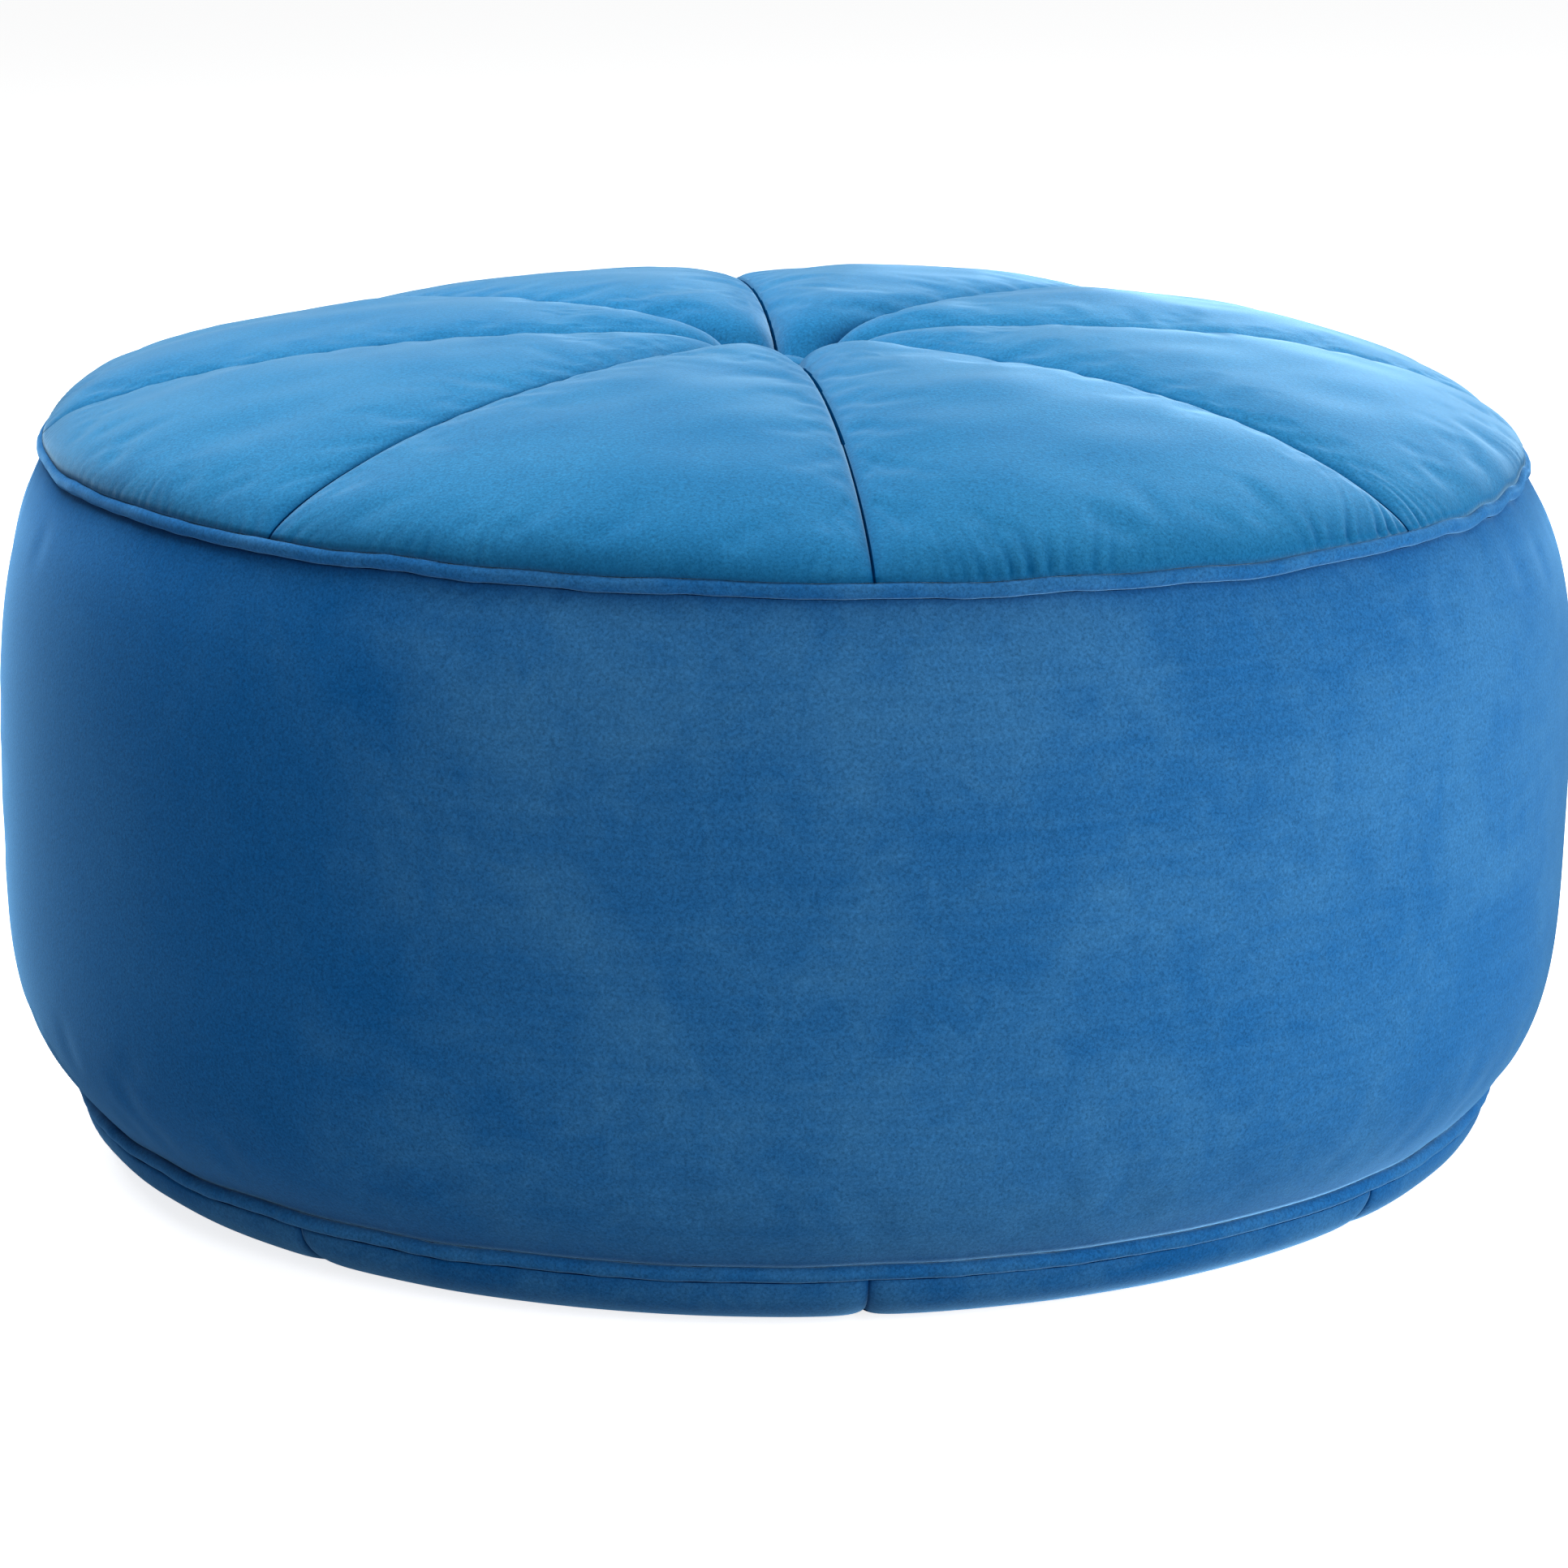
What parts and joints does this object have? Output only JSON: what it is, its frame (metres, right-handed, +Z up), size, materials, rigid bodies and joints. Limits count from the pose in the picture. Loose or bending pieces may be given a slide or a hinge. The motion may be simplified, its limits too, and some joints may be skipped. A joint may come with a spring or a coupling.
{
  "type": "round floor cushion",
  "caption": "Round velvet floor cushion with a wedge-panelled, centre-tufted top, deep side band, corded seams and a zipped base; a low seat or footrest.",
  "frame": {"origin": "centre of the base, on the floor plane", "axes": "+Z up along the cushion's axis; -Y is the front, where a seam between two wedges lies; the base zip runs along X behind the centre"},
  "size_m": [0.8, 0.8, 0.4141],
  "materials": {
    "velvet_top": "short-pile velvet, blue, lighter where the nap lies towards the light",
    "velvet_side": "short-pile velvet, deep blue, brushed and lightly crushed",
    "velvet_under": "short-pile velvet, blue",
    "velvet_piping": "bias-cut velvet folded round a cord, pile slightly opened over the cord",
    "velvet_button": "short-pile velvet drawn over a form",
    "base_lining": "dark grey plain-weave lining cloth",
    "piping_cord": "undyed twisted cotton cord",
    "wadding": "white bonded polyester wadding",
    "foam": "cream open-cell upholstery foam",
    "twine": "waxed upholstery twine",
    "zip_tape": "woven polyester zip tape, dark navy",
    "zip_coil": "nylon coil, dark navy",
    "zip_metal": "die-cast slider and stops, satin",
    "button_form": "moulded button form, grey",
    "anchor_disc": "moulded disc, white"
  },
  "bodies": {
    "cushion": {"top_panel_1": "velvet_top", "top_panel_2": "velvet_top", "top_panel_3": "velvet_top", "top_panel_4": "velvet_top", "top_panel_5": "velvet_top", "top_panel_6": "velvet_top", "top_panel_7": "velvet_top", "top_panel_8": "velvet_top", "side_band_front": "velvet_side", "side_band_rear": "velvet_side", "bottom_panel_1": "velvet_under", "bottom_panel_2": "velvet_under", "bottom_panel_3": "velvet_under", "bottom_panel_4": "velvet_under", "bottom_panel_5": "velvet_under", "bottom_panel_6": "velvet_under", "bottom_panel_7": "velvet_under", "bottom_panel_8": "velvet_under", "upper_piping_cover": "velvet_piping", "lower_piping_cover": "velvet_piping", "upper_piping_cord": "piping_cord", "lower_piping_cord": "piping_cord", "base_cloth_front": "base_lining", "base_cloth_rear": "base_lining", "zip_tape_front": "zip_tape", "zip_tape_rear": "zip_tape", "zip_coil_front": "zip_coil", "zip_coil_rear": "zip_coil", "zip_top_stop_front": "zip_metal", "zip_top_stop_rear": "zip_metal", "zip_bottom_stop": "zip_metal", "foam_core": "foam", "crown_wadding": "wadding", "side_wadding": "wadding", "lower_wadding": "wadding", "button_form": "button_form", "button_cover": "velvet_button", "tuft_anchor": "anchor_disc", "tuft_twine": "twine"},
    "slider": {"zip_slider": "zip_metal"}
  },
  "joints": [
    {"name": "zip_slide", "type": "slide", "parent": "cushion", "child": "slider", "axis": [-1, 0, 0], "range_m": [0, 0.388]}
  ]
}
